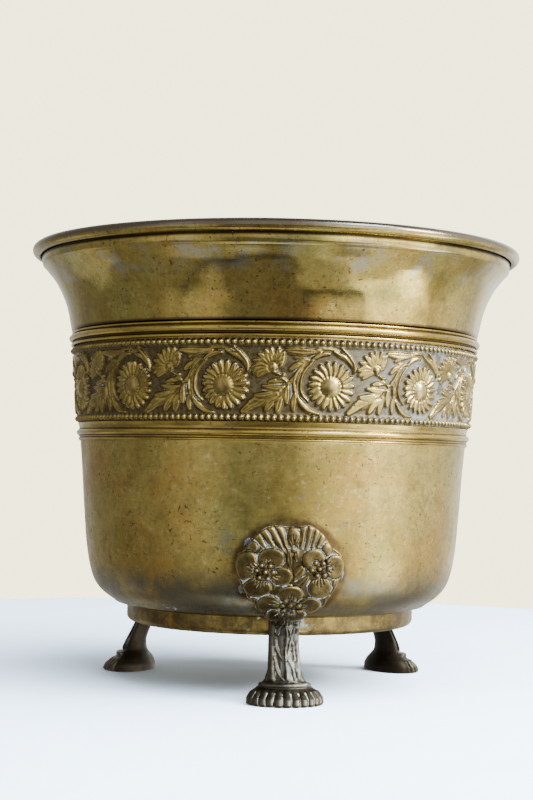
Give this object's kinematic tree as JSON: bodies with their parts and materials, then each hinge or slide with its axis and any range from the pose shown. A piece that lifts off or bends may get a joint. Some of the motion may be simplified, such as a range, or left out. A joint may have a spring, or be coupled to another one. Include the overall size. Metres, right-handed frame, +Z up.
{
  "type": "footed planter pot",
  "caption": "Round brass planter pot with a flared rolled rim, an embossed frieze band and a rounded bowl on cast feet with scalloped plates.",
  "frame": {"origin": "on the pot's axis, at the level of the feet's undersides, below the middle of the bounding box", "axes": "+Z up along the pot's axis, -Y towards the front foot, +X to the right as seen from the front"},
  "size_m": [0.2798, 0.2798, 0.2459],
  "materials": {
    "brass": "hand polished, mottled olive-gold patina with fine scratches and dark specks",
    "embossed_brass": "rubbed golden high points, dark brown patina and pale polish residue in the recesses",
    "cast_brass": "dark bronze-grey sand casting with rubbed edges and pale residue in the recesses",
    "iron_wire": "dull drawn iron wire with light brown rust",
    "fastener_brass": "turned brass gone dull",
    "solder": "matt grey-blue soft solder"
  },
  "bodies": {
    "root": {"flared_collar": "brass", "rim_wire": "iron_wire", "upper_moulding": "brass", "frieze_band": "embossed_brass", "lower_moulding": "brass", "bowl": "brass", "base_pan": "brass", "foot_front": "cast_brass", "foot_rear_right": "cast_brass", "foot_rear_left": "cast_brass", "screw_front_lower": "fastener_brass", "screw_front_upper": "fastener_brass", "screw_rear_right_lower": "fastener_brass", "screw_rear_right_upper": "fastener_brass", "screw_rear_left_lower": "fastener_brass", "screw_rear_left_upper": "fastener_brass", "washer_front_lower": "fastener_brass", "washer_front_upper": "fastener_brass", "washer_rear_right_lower": "fastener_brass", "washer_rear_right_upper": "fastener_brass", "washer_rear_left_lower": "fastener_brass", "washer_rear_left_upper": "fastener_brass", "solder_front_upper": "solder", "solder_front_lower": "solder", "solder_front_side": "solder", "solder_rear_right_upper": "solder", "solder_rear_right_lower": "solder", "solder_rear_right_side": "solder", "solder_rear_left_upper": "solder", "solder_rear_left_lower": "solder", "solder_rear_left_side": "solder"}
  },
  "joints": []
}
